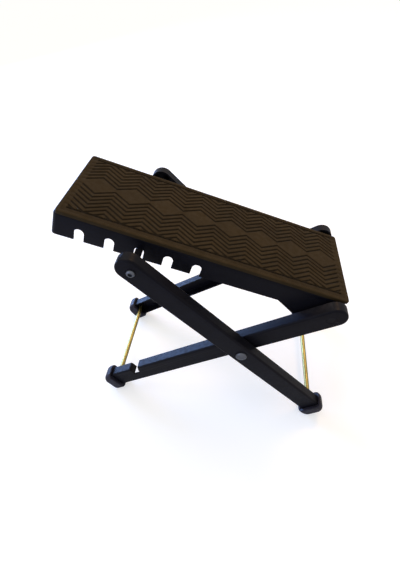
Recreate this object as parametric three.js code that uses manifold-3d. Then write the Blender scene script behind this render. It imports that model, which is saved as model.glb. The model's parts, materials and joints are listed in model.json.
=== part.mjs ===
// Folding footrest for a seated guitarist: a rubber-covered tread, hinged at its low end to the inner
// pair of crossed legs, whose high end drops one of five pairs of notches over the rod of the outer pair.
// Millimetres, +Z up. X runs towards the low end of the tread, Y towards the rear side, and the origin
// is on the floor under the middle of the footrest.
import * as THREE from "three";
import { mergeVertices } from "three/addons/utils/BufferGeometryUtils.js";
import Module from "manifold-3d";

const wasm = await Module();
wasm.setup();

// Least clearance between pieces that touch on the real footrest
const gap = 0.3;

// Tread: a pressed steel pan, open at its low end but for a short lip, under a rubber mat
const treadLength = 250;
const treadWidth = 90.4;
const treadDepth = 21.5;
const treadTilt = 20.1;
const matThickness = 2.6;
const matEdgeRadius = 1;
const matCornerRadius = 3;
const panSheet = 1.4;
const panBendRadius = 2;
const panCornerRadius = 4;
const panInset = 0.45;
const panLowEndInset = 1.4;
const panLipHeight = 7;

// Hinge and notches, measured from the tread's low end and from the top of the mat
const hingeFromEnd = 12;
const hingeBelowTop = 12.1;
const notchCount = 5;
const notchInUse = 3;
const notchInUseFromEnd = 181;
const notchPitch = 24.6;
const notchWidth = 9.4;
const notchDepth = 10.8;

// Cheek round each hinge hole, below the skirt: where its slope starts and ends, how low that end is,
// how low the cheek reaches, where its flat edge ends and how softly its corners turn
const cheekSlopeStart = 50;
const cheekSlopeEnd = 37;
const cheekSlopeDrop = 10.4;
const cheekDrop = 13;
const cheekFlatEnd = 20;
const cheekBlend = 3;

// Legs: pressed channel with a closed round upper end, open towards the middle of the footrest
const legHeight = 18;
const legDepth = 10.7;
const legSheet = 1.8;
const legBendRadius = 2;
const legPastPin = 4.9;
const outerWebAt = 71.6;
const innerWebAt = 59.7;
const pivotToHeightRod = 132.2;
const pivotToOuterFootRod = 113.7;
const pivotToHinge = 86;
const pivotToInnerFootRod = 166.4;

// Slot in the upper side of each inner leg, which takes the height rod when the legs are folded
const slotFromFootRod = 32.7;
const slotWidth = 12.6;
const slotDepth = 10;

// Rods
const heightRodDiameter = 8;
const hingeRodDiameter = 8;
const hingeTenonDiameter = 5;
const footRodDiameter = 5;
const footTenonDiameter = 3.6;

// Button-head screws that hold the height rod
const screwDiameter = 5;
const screwLength = 12;
const screwHeadDiameter = 9.2;
const screwHeadHeight = 2.8;
const screwSocketWidth = 3;
const screwSocketDepth = 1.7;

// The upright rim of each domed head, and the bevel on each turned end
const headRim = 0.5;
const endBevel = 0.7;

// Centre pivots: a domed rivet through both webs, with a spacer in the outer leg and a washer inside
const rivetDiameter = 6;
const rivetHeadDiameter = 10.6;
const rivetHeadHeight = 3.1;
const rivetTailDiameter = 9.4;
const rivetTailHeight = 1.8;
const spacerDiameter = 12;
const washerDiameter = 12.6;
const washerThickness = 1.2;

// Rubber feet: caps over the legs' lower ends, domed outwards and worn flat where they stand
const footHeight = 26;
const footWidth = 18.4;
const footFromRod = 3;
const footThickness = 11.5;
const footDomeRadius = 8;
const footSideRadius = 5;
const footCornerRadius = 5;
const footPocketDepth = 6.5;
const footFlatDepth = 0.4;

// How far a cutting shape runs on past what it cuts, and how finely round shapes are divided
const past = 5;
const roundSides = 24;
const arcSteps = 12;
const bendSteps = 3;
const footSteps = 7;

const finish = {
  paint: { color: 0x17171b, roughness: 0.42, metalness: 0.1 },
  mat: { color: 0x2b241c, roughness: 0.75, metalness: 0 },
  rubber: { color: 0x1d1e20, roughness: 0.8, metalness: 0 },
  yellowZinc: { color: 0xc9bc86, roughness: 0.3, metalness: 1 },
  whiteZinc: { color: 0xb4b6b8, roughness: 0.32, metalness: 1 },
  nylon: { color: 0x202124, roughness: 0.55, metalness: 0 },
};

// A closed geometry as a solid that can be cut and joined
function toSolid(geometry) {
  const loose = geometry.index ? geometry.toNonIndexed() : geometry;
  const bare = new THREE.BufferGeometry();
  bare.setAttribute("position", loose.getAttribute("position").clone());
  const merged = mergeVertices(bare, 1e-4);
  const mesh = new wasm.Mesh({
    numProp: 3,
    vertProperties: merged.attributes.position.array,
    triVerts: new Uint32Array(merged.index.array),
  });
  return new wasm.Manifold(mesh);
}

function toGeometry(solid) {
  const mesh = solid.getMesh();
  const geometry = new THREE.BufferGeometry();
  geometry.setAttribute("position", new THREE.BufferAttribute(mesh.vertProperties, 3));
  geometry.setIndex(new THREE.BufferAttribute(mesh.triVerts, 1));
  geometry.computeVertexNormals();
  return geometry;
}

function cut(body, ...tools) {
  return toGeometry(tools.reduce((left, tool) => left.subtract(toSolid(tool)), toSolid(body)));
}

function join(...bodies) {
  return toGeometry(bodies.map(toSolid).reduce((whole, body) => whole.add(body)));
}

// A box from its lowest to its highest corner
function box([x0, y0, z0], [x1, y1, z1]) {
  const geometry = new THREE.BoxGeometry(x1 - x0, y1 - y0, z1 - z0);
  return geometry.translate((x0 + x1) / 2, (y0 + y1) / 2, (z0 + z1) / 2);
}

// A cylinder along Y, through (x, z), from one Y to another
function pin(diameter, y0, y1, x = 0, z = 0) {
  const geometry = new THREE.CylinderGeometry(diameter / 2, diameter / 2, y1 - y0, roundSides);
  return geometry.translate(x, (y0 + y1) / 2, z);
}

// A side view drawn in X and Z, as a plate from one Y to another
function plate(shape, y0, y1) {
  const geometry = new THREE.ExtrudeGeometry(shape, {
    depth: y1 - y0,
    bevelEnabled: false,
    curveSegments: arcSteps,
  });
  return geometry.rotateX(Math.PI / 2).translate(0, y1, 0);
}

// A flat outline given depth, with both of its ends rounded over inside that depth
function roundedBlock(shape, depth, radius) {
  const geometry = new THREE.ExtrudeGeometry(shape, {
    depth: depth - 2 * radius,
    bevelThickness: radius,
    bevelSize: radius,
    bevelOffset: -radius,
    bevelSegments: bendSteps,
    curveSegments: arcSteps,
  });
  return geometry.translate(0, 0, radius);
}

// A rectangle with one corner radius at its low-X end and another at its high-X end
function roundedRectangle(x0, x1, halfWidth, lowRadius, highRadius) {
  const shape = new THREE.Shape();
  const quarter = Math.PI / 2;
  shape.moveTo(x0 + lowRadius, -halfWidth);
  shape.lineTo(x1 - highRadius, -halfWidth);
  shape.absarc(x1 - highRadius, highRadius - halfWidth, highRadius, -quarter, 0);
  shape.lineTo(x1, halfWidth - highRadius);
  shape.absarc(x1 - highRadius, halfWidth - highRadius, highRadius, 0, quarter);
  shape.lineTo(x0 + lowRadius, halfWidth);
  shape.absarc(x0 + lowRadius, halfWidth - lowRadius, lowRadius, quarter, 2 * quarter);
  shape.lineTo(x0, lowRadius - halfWidth);
  shape.absarc(x0 + lowRadius, lowRadius - halfWidth, lowRadius, 2 * quarter, 3 * quarter);
  return shape;
}

// A notch with a round closed end at z, open downwards
function notchShape(x, z, width, length) {
  const radius = width / 2;
  const shape = new THREE.Shape();
  shape.moveTo(x - radius, z - length);
  shape.lineTo(x - radius, z - radius);
  shape.absarc(x, z - radius, radius, Math.PI, 0, true);
  shape.lineTo(x + radius, z - length);
  return shape;
}

// The side triangle: hinge, height rod and centre pivot. In the tread's own frame the hinge is at 0, 0.
const treadTop = hingeBelowTop;
const skirtBottom = hingeBelowTop - treadDepth;
const notchTop = skirtBottom + notchDepth;
const heightRodX = hingeFromEnd - notchInUseFromEnd;
const heightRodZ = notchTop - gap - heightRodDiameter / 2;
const hingeToRod = Math.hypot(heightRodX, heightRodZ);

// The angle opposite the third side of a triangle
function angleBetween(sideA, sideB, opposite) {
  return Math.acos((sideA ** 2 + sideB ** 2 - opposite ** 2) / (2 * sideA * sideB));
}

const tilt = THREE.MathUtils.degToRad(treadTilt);
const rodDirection = Math.atan2(heightRodZ, heightRodX) - tilt + 2 * Math.PI;
// Each pair of legs has its X axis running down from the centre pivot to the feet, in these directions
const innerAngle = rodDirection + angleBetween(pivotToHinge, hingeToRod, pivotToHeightRod);
const outerAngle = innerAngle + angleBetween(pivotToHeightRod, pivotToHinge, hingeToRod);

// How far below its foot rod a foot would reach if it had no flat, on a leg in this direction
function footReach(angle) {
  const domeX = footFromRod + footThickness - footDomeRadius;
  const domeZ = footHeight / 2 - footDomeRadius;
  return domeX * Math.abs(Math.sin(angle)) + domeZ * Math.abs(Math.cos(angle)) + footDomeRadius;
}

const innerFootRodHeight = footReach(innerAngle) - footFlatDepth;
const pivotHeight = innerFootRodHeight - pivotToInnerFootRod * Math.sin(innerAngle);
const outerFootRodHeight = pivotHeight + pivotToOuterFootRod * Math.sin(outerAngle);

// Tread, in a frame with the hinge at 0 and X along the tread towards its low end
function treadMat() {
  const x1 = hingeFromEnd;
  const outline = roundedRectangle(x1 - treadLength, x1, treadWidth / 2, matCornerRadius, matCornerRadius);
  const block = roundedBlock(outline, matThickness + matEdgeRadius, matEdgeRadius);
  block.translate(0, 0, treadTop - matThickness - matEdgeRadius);
  const below = box([-treadLength, -treadWidth, skirtBottom], [treadLength, treadWidth, treadTop - matThickness]);
  return cut(block, below);
}

function cheek(y0, y1) {
  const shape = new THREE.Shape();
  const inside = skirtBottom + cheekBlend;
  const start = hingeFromEnd - cheekSlopeStart;
  const end = hingeFromEnd - cheekSlopeEnd;
  const highEnd = hingeFromEnd - panLowEndInset;
  const low = skirtBottom - cheekDrop;
  const fall = cheekSlopeDrop / (end - start);
  shape.moveTo(start - cheekBlend, inside);
  shape.lineTo(start - cheekBlend, skirtBottom);
  shape.quadraticCurveTo(start, skirtBottom, start + cheekBlend, skirtBottom - cheekBlend * fall);
  shape.lineTo(end, skirtBottom - cheekSlopeDrop);
  shape.quadraticCurveTo(end + cheekBlend, low, end + 3 * cheekBlend, low);
  shape.lineTo(hingeFromEnd - cheekFlatEnd, low);
  shape.quadraticCurveTo(highEnd, low, highEnd, skirtBottom);
  shape.lineTo(highEnd, inside);
  return plate(shape, y0, y1);
}

function treadPan() {
  const halfWidth = treadWidth / 2 - panInset;
  const inner = halfWidth - panSheet;
  const x0 = hingeFromEnd - treadLength + panInset;
  const x1 = hingeFromEnd - panLowEndInset;
  const top = treadTop - matThickness - gap;
  const height = top - skirtBottom;
  const outline = roundedRectangle(x0, x1, halfWidth, panCornerRadius, panBendRadius + gap);
  // The rounded block and its hollow run on below the skirts, and are cut off there
  const outside = roundedBlock(outline, height + panBendRadius, panBendRadius);
  outside.translate(0, 0, skirtBottom - panBendRadius);
  const hollowCorner = panCornerRadius - panSheet;
  const hollowOutline = roundedRectangle(x0 + panSheet, x1 - panSheet, inner, hollowCorner, hollowCorner);
  const hollow = new THREE.ExtrudeGeometry(hollowOutline, {
    depth: height + past,
    bevelEnabled: false,
    curveSegments: arcSteps,
  });
  hollow.translate(0, 0, skirtBottom - past - panSheet);
  const below = box(
    [x0 - past, -treadWidth, skirtBottom - treadDepth],
    [x1 + past, treadWidth, skirtBottom],
  );
  const lowEnd = box(
    [x1 - past, -inner, skirtBottom - past],
    [x1 + past, inner, top - panLipHeight],
  );
  const shell = cut(outside, hollow, below, lowEnd);
  const cheeks = [cheek(-halfWidth, -inner), cheek(inner, halfWidth)];
  const openings = [];
  for (let i = 1; i <= notchCount; i += 1) {
    const x = heightRodX - (notchInUse - i) * notchPitch;
    const shape = notchShape(x, notchTop, notchWidth, notchDepth + past);
    openings.push(plate(shape, -treadWidth, treadWidth));
  }
  openings.push(pin(hingeRodDiameter + 2 * gap, -treadWidth, treadWidth));
  return cut(join(shell, ...cheeks), ...openings);
}

// Legs, in a frame with the centre pivot at 0 and X running down the leg. Each is made for the front,
// with its web at the front. The inner legs' frame is upside down, so their slot opens towards -Z.
function channelLeg({ web, topPin, topHole, footPin, slot }) {
  const halfHeight = legHeight / 2;
  const footEnd = footPin + footFromRod + footPocketDepth - gap;
  const roundCentre = -topPin - legPastPin;
  const edge = legDepth - web;
  const profile = (radius, end) => {
    const shape = new THREE.Shape();
    shape.moveTo(end, radius);
    shape.lineTo(roundCentre, radius);
    shape.absarc(roundCentre, 0, radius, Math.PI / 2, 1.5 * Math.PI);
    shape.lineTo(end, -radius);
    return shape;
  };
  // The rounded block runs on past the flanges' edges and past the foot, and is cut off there
  const runOn = past + legBendRadius;
  const outside = roundedBlock(profile(halfHeight, footEnd + runOn), legDepth + runOn, legBendRadius);
  outside.rotateX(Math.PI / 2).translate(0, edge + runOn, 0);
  const hollow = plate(profile(halfHeight - legSheet, footEnd + 2 * runOn), legSheet - web, edge + 2 * runOn);
  const length = topPin + footPin + legHeight * 2;
  const beyondEdge = box([-length, edge, -legHeight], [length, edge + 2 * runOn, legHeight]);
  const beyondFoot = box([footEnd, -web - past, -legHeight], [length, edge + past, legHeight]);
  const hole = (diameter, x) => pin(diameter + 2 * gap, -web - past, legSheet - web + past, x);
  const holes = [hole(topHole, -topPin), hole(rivetDiameter, 0), hole(footTenonDiameter, footPin)];
  const tools = [hollow, beyondEdge, beyondFoot, ...holes];
  if (slot) {
    const shape = notchShape(slot, slotDepth - halfHeight, slotWidth, slotDepth + past);
    tools.push(plate(shape, -web - past, edge + past));
  }
  return cut(outside, ...tools);
}

// A rod across the footrest, with a thinner end through each leg's web
function tenonedRod(diameter, tenon, web, x) {
  const shoulder = web - legSheet - gap;
  return join(pin(diameter, -shoulder, shoulder, x), pin(tenon, -web, web, x));
}

function heightRod(x) {
  const end = outerWebAt - legSheet - gap;
  const depth = screwLength - legSheet + gap;
  const bore = screwDiameter + 2 * gap;
  return cut(
    pin(heightRodDiameter, -end, end, x),
    pin(bore, -end - past, -end + depth, x),
    pin(bore, end - depth, end + past, x),
  );
}

// A turned piece: its outline gives a radius at each place along Y, from axis to axis
function turned(outline) {
  const points = outline.map(([radius, y]) => new THREE.Vector2(radius, y));
  return new THREE.LatheGeometry(points, roundSides);
}

// A domed head that starts at y and rises towards -Y, from its middle to its rim
function dome(diameter, height, y) {
  const radius = diameter / 2;
  const points = [];
  for (let i = 0; i <= 2 * bendSteps; i += 1) {
    const turn = (i / (2 * bendSteps)) * (Math.PI / 2);
    points.push([radius * Math.sin(turn), y - headRim - (height - headRim) * Math.cos(turn)]);
  }
  points.push([radius, y]);
  return points;
}

function heightRodScrew() {
  const seat = -outerWebAt - gap;
  const radius = screwDiameter / 2;
  const tip = seat + screwLength;
  const body = turned([
    ...dome(screwHeadDiameter, screwHeadHeight, seat),
    [radius, seat],
    [radius, tip - endBevel],
    [radius - endBevel, tip],
    [0, tip],
  ]);
  const acrossCorners = screwSocketWidth / Math.cos(Math.PI / 6);
  const socket = new THREE.CylinderGeometry(acrossCorners / 2, acrossCorners / 2, 2 * screwSocketDepth, 6);
  return cut(body, socket.translate(0, seat - screwHeadHeight, 0));
}

function pivotRivet() {
  const seat = -outerWebAt - gap;
  const radius = rivetDiameter / 2;
  const tail = -innerWebAt + legSheet + 2 * gap + washerThickness + gap;
  const tailRadius = rivetTailDiameter / 2;
  return turned([
    ...dome(rivetHeadDiameter, rivetHeadHeight, seat),
    [radius, seat],
    [radius, tail],
    [tailRadius, tail],
    [tailRadius, tail + rivetTailHeight - endBevel],
    [tailRadius - endBevel, tail + rivetTailHeight],
    [0, tail + rivetTailHeight],
  ]);
}

function tube(diameter, bore, y0, y1) {
  return cut(pin(diameter, y0, y1), pin(bore + 2 * gap, y0 - past, y1 + past));
}

function pivotSpacer() {
  return tube(spacerDiameter, rivetDiameter, -outerWebAt + legSheet + gap, -innerWebAt - gap);
}

function pivotWasher() {
  const start = -innerWebAt + legSheet + gap;
  return tube(washerDiameter, rivetDiameter, start, start + washerThickness);
}

function hingeSpacer() {
  const skirt = treadWidth / 2 - panInset;
  return tube(spacerDiameter, hingeRodDiameter, -innerWebAt + legSheet + gap, -skirt - gap);
}

// A ring of points round a rectangle with rounded corners, across the leg at x
function footRing(x, halfHeight, halfWidth, radius) {
  const ring = [];
  const corners = [
    [1, 1],
    [-1, 1],
    [-1, -1],
    [1, -1],
  ];
  corners.forEach(([sideY, sideZ], quarter) => {
    for (let i = 0; i <= bendSteps; i += 1) {
      const turn = (quarter + i / bendSteps) * (Math.PI / 2);
      const y = sideY * (halfWidth - radius) + radius * Math.cos(turn);
      const z = sideZ * (halfHeight - radius) + radius * Math.sin(turn);
      ring.push(new THREE.Vector3(x, y, z));
    }
  });
  return ring;
}

// Rings of equal counts joined into one closed body, with a flat face at each end
function loft(rings) {
  const count = rings[0].length;
  const positions = rings.flat().flatMap((point) => point.toArray());
  const middle = (ring) => ring.reduce((sum, point) => sum.add(point), new THREE.Vector3()).divideScalar(count);
  const first = positions.length / 3;
  positions.push(...middle(rings[0]).toArray(), ...middle(rings[rings.length - 1]).toArray());
  const faces = [];
  for (let i = 0; i < count; i += 1) {
    const next = (i + 1) % count;
    const last = (rings.length - 1) * count;
    faces.push(first, next, i, first + 1, last + i, last + next);
    for (let r = 0; r < rings.length - 1; r += 1) {
      const here = r * count;
      const there = here + count;
      faces.push(here + i, here + next, there + next, here + i, there + next, there + i);
    }
  }
  const geometry = new THREE.BufferGeometry();
  geometry.setAttribute("position", new THREE.Float32BufferAttribute(positions, 3));
  geometry.setIndex(faces);
  return geometry;
}

// How far a round edge of this radius has come in, this far before the end of a length
function roundedIn(distance, length, radius) {
  const along = Math.max(0, distance - (length - radius));
  return radius - Math.sqrt(Math.max(0, radius ** 2 - along ** 2));
}

// A foot on the lower end of a leg, in a frame with the foot rod at 0 and X running down the leg in
// this direction, for a rod at this height above the floor
function rubberFoot(web, angle, rodHeight) {
  const rings = [];
  for (let i = 0; i <= footSteps; i += 1) {
    const distance = footThickness * Math.sin(((i / footSteps) * Math.PI) / 2);
    const halfHeight = footHeight / 2 - roundedIn(distance, footThickness, footDomeRadius);
    const halfWidth = footWidth / 2 - roundedIn(distance, footThickness, footSideRadius);
    const radius = Math.min(footCornerRadius, halfHeight - gap, halfWidth - gap);
    rings.push(footRing(footFromRod + distance, halfHeight, halfWidth, radius));
  }
  const middle = -web + legDepth / 2;
  const body = loft(rings).translate(0, middle, 0);
  const room = legHeight / 2 + gap;
  const pocket = box(
    [0, -web - gap, -room],
    [footFromRod + footPocketDepth, -web + legDepth + gap, room],
  );
  const ground = box(
    [-2 * footHeight, middle - footWidth, -rodHeight - footHeight],
    [2 * footHeight, middle + footWidth, -rodHeight],
  ).rotateY(angle);
  return cut(body, pocket, ground);
}

// Assembly
function piece(name, geometry, look) {
  const mesh = new THREE.Mesh(geometry, new THREE.MeshStandardMaterial(look));
  mesh.name = name;
  return mesh;
}

// The front piece as it is made, and the rear one as its mirror image across the middle
function pair(group, name, geometry, look, x = 0) {
  for (const [side, mirror] of [["front", 1], ["rear", -1]]) {
    const mesh = piece(`${name}_${side}`, geometry, look);
    mesh.scale.y = mirror;
    mesh.position.x = x;
    group.add(mesh);
  }
}

const innerLegs = new THREE.Group();
innerLegs.rotation.y = -innerAngle;
const innerLeg = channelLeg({
  web: innerWebAt,
  topPin: pivotToHinge,
  topHole: hingeTenonDiameter,
  footPin: pivotToInnerFootRod,
  slot: pivotToInnerFootRod - slotFromFootRod,
});
const hingeRod = tenonedRod(hingeRodDiameter, hingeTenonDiameter, innerWebAt, -pivotToHinge);
const innerFootRod = tenonedRod(footRodDiameter, footTenonDiameter, innerWebAt, pivotToInnerFootRod);
const innerFoot = rubberFoot(innerWebAt, innerAngle, innerFootRodHeight);
pair(innerLegs, "inner_leg", innerLeg, finish.paint);
innerLegs.add(piece("hinge_rod", hingeRod, finish.paint));
pair(innerLegs, "hinge_spacer", hingeSpacer(), finish.nylon, -pivotToHinge);
pair(innerLegs, "pivot_rivet", pivotRivet(), finish.whiteZinc);
pair(innerLegs, "pivot_spacer", pivotSpacer(), finish.nylon);
pair(innerLegs, "pivot_washer", pivotWasher(), finish.whiteZinc);
innerLegs.add(piece("inner_foot_rod", innerFootRod, finish.yellowZinc));
pair(innerLegs, "inner_foot", innerFoot, finish.rubber, pivotToInnerFootRod);

const outerLegs = new THREE.Group();
outerLegs.rotation.y = -outerAngle;
const outerLeg = channelLeg({
  web: outerWebAt,
  topPin: pivotToHeightRod,
  topHole: screwDiameter,
  footPin: pivotToOuterFootRod,
});
const outerFootRod = tenonedRod(footRodDiameter, footTenonDiameter, outerWebAt, pivotToOuterFootRod);
const outerFoot = rubberFoot(outerWebAt, outerAngle, outerFootRodHeight);
pair(outerLegs, "outer_leg", outerLeg, finish.paint);
outerLegs.add(piece("height_rod", heightRod(-pivotToHeightRod), finish.paint));
pair(outerLegs, "height_rod_screw", heightRodScrew(), finish.whiteZinc, -pivotToHeightRod);
outerLegs.add(piece("outer_foot_rod", outerFootRod, finish.yellowZinc));
pair(outerLegs, "outer_foot", outerFoot, finish.rubber, pivotToOuterFootRod);

const tread = new THREE.Group();
tread.rotation.y = tilt;
tread.position.set(-pivotToHinge * Math.cos(innerAngle), 0, -pivotToHinge * Math.sin(innerAngle));
tread.add(piece("tread_pan", treadPan(), finish.paint), piece("tread_mat", treadMat(), finish.mat));

const footrest = new THREE.Group();
footrest.name = "guitar_footrest";
footrest.add(innerLegs, outerLegs, tread);
footrest.position.z = pivotHeight;

// The middle of the whole footrest goes over the origin
const middleX = new THREE.Box3().setFromObject(footrest, true).getCenter(new THREE.Vector3()).x;
footrest.position.x = -middleX;
footrest.updateMatrixWorld(true);

export default footrest;
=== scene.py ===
"""A folding guitar footrest: pressed black steel legs and pan, a moulded rubber mat and feet, plated rods.

Every piece is built in the frame of the body that carries it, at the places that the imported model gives.
"""

import json
import math

import bmesh
import bpy
from bpy.props import FloatProperty, FloatVectorProperty, IntProperty, PointerProperty
from bpy.types import Operator, Panel, PropertyGroup
from mathutils import Matrix, Vector


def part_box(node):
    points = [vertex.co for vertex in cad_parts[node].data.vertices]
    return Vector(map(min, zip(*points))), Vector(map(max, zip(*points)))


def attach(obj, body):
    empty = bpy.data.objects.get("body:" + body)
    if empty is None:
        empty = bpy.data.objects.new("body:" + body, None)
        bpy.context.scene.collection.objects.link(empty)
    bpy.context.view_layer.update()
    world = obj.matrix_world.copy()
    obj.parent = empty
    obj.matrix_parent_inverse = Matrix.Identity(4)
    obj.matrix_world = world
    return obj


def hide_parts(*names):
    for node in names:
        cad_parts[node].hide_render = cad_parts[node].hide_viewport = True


bl_info = {
    "name": "Guitar Footrest",
    "version": (1, 0, 0),
    "blender": (4, 5, 0),
    "location": "3D View > Sidebar > Footrest",
    "description": "Builds a folding guitar footrest piece by piece around its packed model",
    "category": "Add Mesh",
}

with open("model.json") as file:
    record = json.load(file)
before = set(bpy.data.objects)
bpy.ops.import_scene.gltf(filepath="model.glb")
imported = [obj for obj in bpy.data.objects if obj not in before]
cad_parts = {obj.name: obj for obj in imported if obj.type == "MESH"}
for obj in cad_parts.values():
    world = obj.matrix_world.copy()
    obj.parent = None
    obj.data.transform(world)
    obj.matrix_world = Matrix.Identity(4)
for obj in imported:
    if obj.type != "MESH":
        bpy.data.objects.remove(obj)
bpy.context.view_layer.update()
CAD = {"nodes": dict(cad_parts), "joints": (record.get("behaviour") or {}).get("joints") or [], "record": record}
MM = 0.001
ACROSS = Vector((0, 1, 0))

# Frames


def centre(node):
    low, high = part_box(node)
    return (low + high) / 2


def frame_along(origin, direction):
    """A frame with X along a direction in the XZ plane, and Y across the footrest."""
    along = Vector((direction.x, 0, direction.z)).normalized()
    axes = Matrix((along, ACROSS, along.cross(ACROSS))).transposed().to_4x4()
    return Matrix.Translation(origin) @ axes


def points_of(node, frame):
    """A node's points, measured along a frame's own axes."""
    into = frame.inverted()
    return [into @ vertex.co for vertex in CAD["nodes"][node].data.vertices]


def extent(node, frame):
    """The lowest and highest corner of a node, measured along a frame's own axes."""
    points = points_of(node, frame)
    return Vector(map(min, zip(*points))), Vector(map(max, zip(*points)))


def place_along(node, frame):
    """How far along a frame's X axis a rod, screw or rivet crosses it."""
    return (frame.inverted() @ centre(node)).x


def at_centre(node, frame):
    """A frame moved along its X axis until its Y axis runs through a round node."""
    return frame @ Matrix.Translation((place_along(node, frame), 0, 0))


def radius_of(node, frame):
    """The largest radius of a round node that lies across the footrest."""
    low, high = extent(node, frame)
    return (high.z - low.z) / 2


def radius_at_end(node, frame, share=0.02):
    """The radius of a round node within a share of its length from its front end."""
    points = points_of(node, frame)
    front = min(point.y for point in points)
    depth = share * (max(point.y for point in points) - front)
    middle = sum(point.z for point in points) / len(points)
    near = [point for point in points if point.y < front + depth]
    return max(point.z for point in near) - middle


JOINTS = {joint["name"]: Vector(joint["pos_m"]) for joint in CAD["joints"]}
MOUNTS = {mount["name"]: mount for mount in CAD["record"]["mounts"]}
HINGE = JOINTS["tread_lift"]
PIVOT = JOINTS["leg_fold"]
TREAD_UP = Vector(MOUNTS["tread_top"]["axis"])
# X runs to the tread's low end, and down each pair of legs from the centre pivot to the feet
TREAD = frame_along(HINGE, ACROSS.cross(TREAD_UP))
INNER = frame_along(PIVOT, centre("inner_foot_rod") - PIVOT)
OUTER = frame_along(PIVOT, centre("outer_foot_rod") - PIVOT)
PAIRS = {"inner": INNER, "outer": OUTER}
# The rear pieces mirror the front ones in Y
SIDES = {"front": 1, "rear": -1}


def web_of(pair):
    """The front leg's outer face, as a place along Y."""
    return extent(f"{pair}_leg_front", PAIRS[pair])[0].y


# Settings


def linear(code):
    """An sRGB hex colour as linear red, green and blue."""
    parts = [int(code[i : i + 2], 16) / 255 for i in (1, 3, 5)]
    return [part / 12.92 if part <= 0.04045 else ((part + 0.055) / 1.055) ** 2.4 for part in parts]


def length(name, millimetres, description):
    return FloatProperty(
        name=name, description=description, default=millimetres * MM, min=0, precision=5, unit="LENGTH"
    )


def colour(name, code, description):
    return FloatVectorProperty(
        name=name, description=description, default=linear(code), size=3, min=0, max=1, subtype="COLOR"
    )


class TreadSizes(PropertyGroup):
    sheet: length("Sheet", 1.4, "Thickness of the pan's steel")
    bend: length("Bend", 2, "Outer radius of the bend from the pan's top to its skirts")
    corner: length("Corner", 4, "Radius of the pan's upright corners at its high end")
    reach: length("Reach", 1.7, "How far the pan reaches past the mat at the high end")
    lean: length("Lean", 1.4, "How much further the high end's skirt reaches at its lower edge")
    skirt: length("Skirt", 21.9, "From the top of the mat down to the skirts' lower edge, at the low end")
    taper: length("Taper", 2.8, "How much deeper the skirts are at the high end")
    lip: length("Lip", 7, "Height of the lip across the low end, below the pan's top")
    hinge_gap: length("Hinge gap", 0.3, "Gap round the hinge rod in the skirts")
    notch_width: length("Notch width", 8.1, "Width of each notch for the height rod")
    notch_depth: length("Notch depth", 12, "Height of each notch above the skirts' lower edge")
    notch_pitch: length("Notch pitch", 24.6, "From one notch to the next")
    notch_count: IntProperty(name="Notches", description="Notches in each skirt", default=5, min=1)
    notch_in_use: IntProperty(name="Notch in use", description="Counted from the high end", default=3, min=1)
    cheek_start: length("Cheek start", 52, "From the mat's low end to where the cheek starts to curve down")
    cheek_bend: length("Cheek bend", 40, "From the mat's low end to the middle of that curve")
    cheek_end: length("Cheek end", 36, "From the mat's low end to the lower end of that curve")
    cheek_bend_drop: length("Cheek bend drop", 5.4, "How far the curve's middle lies below the skirt")
    cheek_end_drop: length("Cheek end drop", 10.4, "How far the curve's lower end lies below the skirt")
    cheek_flat: length("Cheek flat", 20, "From the mat's low end to where the cheek's lower edge turns up")
    cheek_blend: length("Cheek blend", 3, "How softly the cheek's corners turn")


class MatSizes(PropertyGroup):
    edge: length("Edge", 1.1, "Rounding of the mat's upper edge")
    corner: length("Corner", 3, "Radius of the mat's corners")
    period: length("Period", 30, "Length of one zigzag, and of one diamond")
    first_valley: length("First valley", 19.5, "From the high end to the middle of the first diamond")
    rise: length("Rise", 10, "Height of the zigzag, from valley to peak")
    neck: length("Neck", 5.3, "Width of the plain strip where two diamonds meet")
    pitch: length("Pitch", 5.35, "From one groove to the next, across the mat")
    groove: length("Groove", 2.5, "Width of a groove at its mouth")
    depth: length("Depth", 1.0, "Depth of a groove")
    gap: length("Gap", 0.02, "Gap between the mat and the pan")
    border_groove: length("Border groove", 1.5, "Width of the grooves along both sides of the pattern")
    slope: length("Slope", 0.5, "Width of the slopes round the border")
    sunk: length("Sunk", 0.15, "How far the ribs' tops lie below the mat's rim")
    strip: length("Strip", 0.35, "How far the plain strip between the rim and the pattern is sunk")
    end_border: length("End border", 6.5, "Width of the plain border at both ends")
    near_border: length("Near border", 6.9, "Width of the plain border along the front")
    far_border: length("Far border", 4.2, "Width of the plain border along the rear")
    off_centre: length("Off centre", 2.6, "How far the row of diamonds lies behind the middle")
    column: length("Column", 0.8, "Longest step of the mesh along the mat")


class LegSizes(PropertyGroup):
    sheet: length("Sheet", 1.8, "Thickness of the legs' steel")
    height: length("Height", 20.6, "Height of the legs' web")
    depth: length("Depth", 10.3, "Width of the legs' flanges, across the footrest")
    bend: length("Bend", 2, "Outer radius of the bends along the legs")
    slot_from_rod: length("Slot from rod", 28.3, "From the inner foot rod to the lip of the folding slot")
    slot_width: length("Slot width", 11.4, "Width of the folding slot at the flange")
    slot_gap: length("Slot gap", 0.3, "Gap round the folded height rod in the folding slot")
    cover: length("Cover", 0.3, "Filler and enamel over the riveted ends of the foot rods")


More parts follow.
